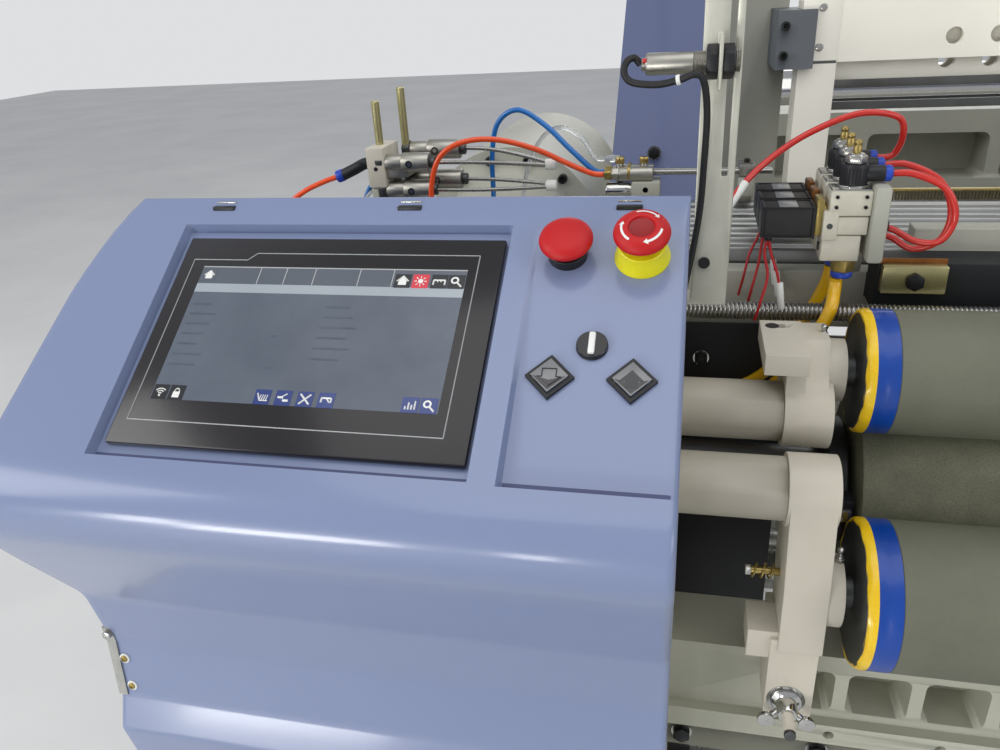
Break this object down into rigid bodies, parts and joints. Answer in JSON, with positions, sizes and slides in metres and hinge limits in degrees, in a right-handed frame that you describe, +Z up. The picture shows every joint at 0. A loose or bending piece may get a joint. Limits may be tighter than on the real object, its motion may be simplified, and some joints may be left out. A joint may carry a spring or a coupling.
{
  "type": "air-jet power loom",
  "caption": "Wide air-jet weaving loom: cast side frames, blue console with touch panel, take-up rollers, rocking sley, heald frames and warp beam.",
  "frame": {"origin": "on the floor, at the centre of the four anchor bolts", "axes": "+X to the right seen from the operator at the front, +Y to the back, +Z up"},
  "size_m": [3.354, 1.6401, 1.6],
  "materials": {
    "frame_paint": "satin cream machine paint",
    "beam_paint": "satin light grey machine paint",
    "blue_panel": "satin blue sheet",
    "cover_blue": "glossy periwinkle blue",
    "latch_black": "black",
    "panel_black": "black bezel",
    "red_plastic": "bright red",
    "yellow_plastic": "yellow",
    "key_grey": "dark grey",
    "sley_alu": "anodised, ribbed",
    "bright_steel": "ground steel",
    "dark_steel": "oiled steel",
    "reed_steel": "brownish steel dents",
    "chrome_parts": "chromed",
    "brass_parts": "brass",
    "hose_skin": "clear coloured tube",
    "valve_grey": "cast valve bodies",
    "coil_black": "moulded coil",
    "cable_black": "black sheath",
    "emery_cover": "dark gritty covering",
    "roller_rubber": "grey green textured rubber",
    "heald_alu": "pale anodised",
    "motor_grey": "grey blue enamel",
    "belt_black": "black"
  },
  "bodies": {
    "root": {"left_frame": "frame_paint", "right_frame": "frame_paint", "front_beam": "frame_paint", "rear_beam": "beam_paint", "temple_beam": "beam_paint", "temple_blocks": "brass_parts", "left_upright": "blue_panel", "right_upright": "blue_panel", "top_beam": "blue_panel", "console_cover": "cover_blue", "right_cover": "cover_blue", "touch_panel": "panel_black", "switch_collars": "panel_black", "estop_collar": "yellow_plastic", "tandem_bracket": "beam_paint", "tandem_nozzles": "chrome_parts", "tandem_posts": "brass_parts", "nozzle_hoses": "hose_skin", "valve_hoses": "hose_skin", "valve_block": "valve_grey", "valve_coils": "coil_black", "valve_fittings": "coil_black", "sensor": "bright_steel", "sensor_plate": "beam_paint", "sensor_cable": "cable_black", "main_motor": "motor_grey", "drive_belt": "belt_black", "shedding_box": "beam_paint"},
    "sley": {"sley_beam": "sley_alu", "rocking_shaft": "dark_steel", "reed": "reed_steel", "main_nozzles": "chrome_parts"},
    "door": {"side_door": "cover_blue"},
    "latch": {"door_latch": "latch_black"},
    "stop": {"stop_button": "red_plastic"},
    "estop_stem": {"estop_plunger": "red_plastic"},
    "estop": {"estop_head": "red_plastic"},
    "selector": {"selector_knob": "panel_black"},
    "inch": {"inch_button": "key_grey"},
    "start": {"start_button": "key_grey"},
    "surface": {"surface_roller": "emery_cover"},
    "upper_arm": {"upper_levers": "frame_paint"},
    "upper_roller": {"upper_press_roller": "roller_rubber"},
    "lower_arm": {"lower_levers": "frame_paint"},
    "lower_roller": {"lower_press_roller": "roller_rubber"},
    "wing_left": {"wing_nut_left": "bright_steel"},
    "wing_right": {"wing_nut_right": "bright_steel"},
    "guide": {"threaded_roller": "bright_steel"},
    "cloth": {"cloth_roller": "bright_steel"},
    "heald_1": {"heald_frame_1": "heald_alu"},
    "heald_2": {"heald_frame_2": "heald_alu"},
    "heald_3": {"heald_frame_3": "heald_alu"},
    "heald_4": {"heald_frame_4": "heald_alu"},
    "beam": {"warp_beam": "dark_steel"},
    "pinion": {"letoff_pinion": "dark_steel"},
    "easing": {"easing_levers": "frame_paint"},
    "back": {"back_roller": "bright_steel"},
    "drive": {"main_shaft": "dark_steel", "hand_wheel": "latch_black"},
    "motor": {"motor_pulley": "dark_steel"}
  },
  "joints": [
    {"name": "sley_rock", "type": "hinge", "parent": "root", "child": "sley", "pos_m": [0, -0.15, 0.6], "axis": [-1, 0, 0], "range_deg": [0, 7]},
    {"name": "door_swing", "type": "hinge", "parent": "root", "child": "door", "pos_m": [-1.648, 0.336, 0.7], "axis": [0, 0, -1], "range_deg": [0, 110]},
    {"name": "latch_turn", "type": "hinge", "parent": "door", "child": "latch", "pos_m": [-1.67, -0.535, 0.712], "axis": [-1, 0, 0], "range_deg": [0, 90]},
    {"name": "stop_press", "type": "slide", "parent": "root", "child": "stop", "axis": [0, 0.5519, -0.8339], "range_m": [0, 0.005], "stiffness_N_per_m": 800, "springref_m": -0.002},
    {"name": "estop_press", "type": "slide", "parent": "root", "child": "estop_stem", "axis": [0, 0.5519, -0.8339], "range_m": [0, 0.006], "stiffness_N_per_m": 800, "springref_m": -0.002},
    {"name": "estop_twist", "type": "hinge", "parent": "estop_stem", "child": "estop", "pos_m": [-1.1783, -0.49262, 1.1296], "axis": [0, -0.5519, 0.8339], "range_deg": [0, 45], "stiffness_Nm_per_rad": 0.2},
    {"name": "selector_turn", "type": "hinge", "parent": "root", "child": "selector", "pos_m": [-1.2083, -0.55817, 1.08621], "axis": [0, -0.5519, 0.8339], "range_deg": [-45, 45]},
    {"name": "inch_press", "type": "slide", "parent": "root", "child": "inch", "axis": [0, 0.5519, -0.8339], "range_m": [0, 0.003], "stiffness_N_per_m": 500, "springref_m": -0.001},
    {"name": "start_press", "type": "slide", "parent": "root", "child": "start", "axis": [0, 0.5519, -0.8339], "range_m": [0, 0.003], "stiffness_N_per_m": 500, "springref_m": -0.001},
    {"name": "surface_turn", "type": "hinge", "parent": "root", "child": "surface", "pos_m": [0, -0.34, 0.854], "axis": [1, 0, 0], "continuous": true},
    {"name": "upper_arm_lift", "type": "hinge", "parent": "root", "child": "upper_arm", "pos_m": [0, -0.401, 0.958], "axis": [1, 0, 0], "range_deg": [0, 12]},
    {"name": "upper_roller_turn", "type": "hinge", "parent": "upper_arm", "child": "upper_roller", "pos_m": [0, -0.37631, 0.98952], "axis": [1, 0, 0], "continuous": true},
    {"name": "lower_arm_lift", "type": "hinge", "parent": "root", "child": "lower_arm", "pos_m": [0, -0.473, 0.923], "axis": [-1, 0, 0], "range_deg": [0, 20]},
    {"name": "lower_roller_turn", "type": "hinge", "parent": "lower_arm", "child": "lower_roller", "pos_m": [0, -0.48686, 0.83336], "axis": [1, 0, 0], "continuous": true},
    {"name": "wing_left_turn", "type": "hinge", "parent": "lower_arm", "child": "wing_left", "pos_m": [-1.044, -0.53, 0.733], "axis": [0, -1, 0], "continuous": true},
    {"name": "wing_right_turn", "type": "hinge", "parent": "lower_arm", "child": "wing_right", "pos_m": [1.044, -0.53, 0.733], "axis": [0, -1, 0], "continuous": true},
    {"name": "guide_turn", "type": "hinge", "parent": "root", "child": "guide", "pos_m": [0, -0.314, 1.02], "axis": [1, 0, 0], "continuous": true},
    {"name": "cloth_turn", "type": "hinge", "parent": "root", "child": "cloth", "pos_m": [0, -0.33, 0.38], "axis": [1, 0, 0], "continuous": true},
    {"name": "heald_1_lift", "type": "slide", "parent": "root", "child": "heald_1", "axis": [0, 0, 1], "range_m": [-0.05, 0.02]},
    {"name": "heald_2_lift", "type": "slide", "parent": "root", "child": "heald_2", "axis": [0, 0, 1], "range_m": [-0.025, 0.045]},
    {"name": "heald_3_lift", "type": "slide", "parent": "root", "child": "heald_3", "axis": [0, 0, 1], "range_m": [-0.05, 0.02]},
    {"name": "heald_4_lift", "type": "slide", "parent": "root", "child": "heald_4", "axis": [0, 0, 1], "range_m": [-0.025, 0.045]},
    {"name": "beam_turn", "type": "hinge", "parent": "root", "child": "beam", "pos_m": [0, 0.56, 0.48], "axis": [1, 0, 0], "continuous": true},
    {"name": "pinion_turn", "type": "hinge", "parent": "root", "child": "pinion", "pos_m": [1.1, 0.45245, 0.63359], "axis": [1, 0, 0], "continuous": true},
    {"name": "easing_swing", "type": "hinge", "parent": "root", "child": "easing", "pos_m": [0, 0.7, 1.01], "axis": [1, 0, 0], "range_deg": [0, 8]},
    {"name": "back_turn", "type": "hinge", "parent": "easing", "child": "back", "pos_m": [0, 0.8, 1.075], "axis": [1, 0, 0], "continuous": true},
    {"name": "drive_turn", "type": "hinge", "parent": "root", "child": "drive", "pos_m": [0, 0.06, 0.56], "axis": [1, 0, 0], "continuous": true},
    {"name": "motor_turn", "type": "hinge", "parent": "root", "child": "motor", "pos_m": [-1.6, -0.3, 0.33], "axis": [1, 0, 0], "continuous": true}
  ],
  "couplings": [
    {"joint": "upper_roller_turn", "follows": "surface_turn", "ratio": -1.5455},
    {"joint": "lower_roller_turn", "follows": "surface_turn", "ratio": -1.3492},
    {"joint": "pinion_turn", "follows": "beam_turn", "ratio": -4},
    {"joint": "motor_turn", "follows": "drive_turn", "ratio": 2.1667}
  ]
}
